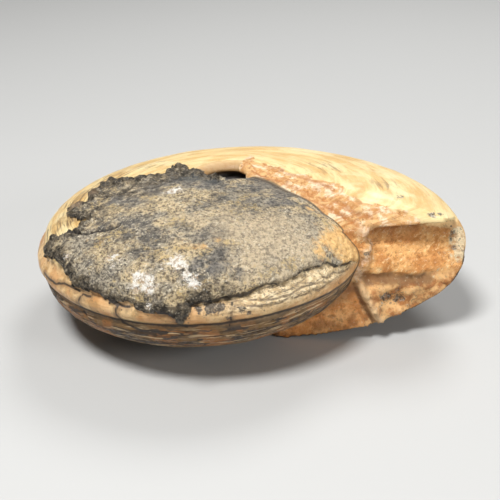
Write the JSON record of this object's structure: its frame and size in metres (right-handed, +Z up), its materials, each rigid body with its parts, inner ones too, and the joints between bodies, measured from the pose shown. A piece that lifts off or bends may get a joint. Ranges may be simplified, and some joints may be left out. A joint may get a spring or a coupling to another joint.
{
  "type": "fossil ammonite",
  "caption": "Fossil ammonite with a low keel, tightly coiled and crusted on one side, its mouth broken away to the orange stone inside; lies on its flank.",
  "frame": {"origin": "middle of the bounding box, at the height of the surface it lies on", "axes": "+Z up, along the coil axis but for a lean of 3.2 degrees; +X to the broken mouth, along the longest extent; the camera of the picture looks along +Y"},
  "size_m": [0.0654, 0.0573, 0.0225],
  "materials": {
    "fossil_stone": "weathered cream shell, dark granular crust and rough orange stone"
  },
  "bodies": {
    "root": {"ammonite_fossil": "fossil_stone"}
  },
  "joints": []
}
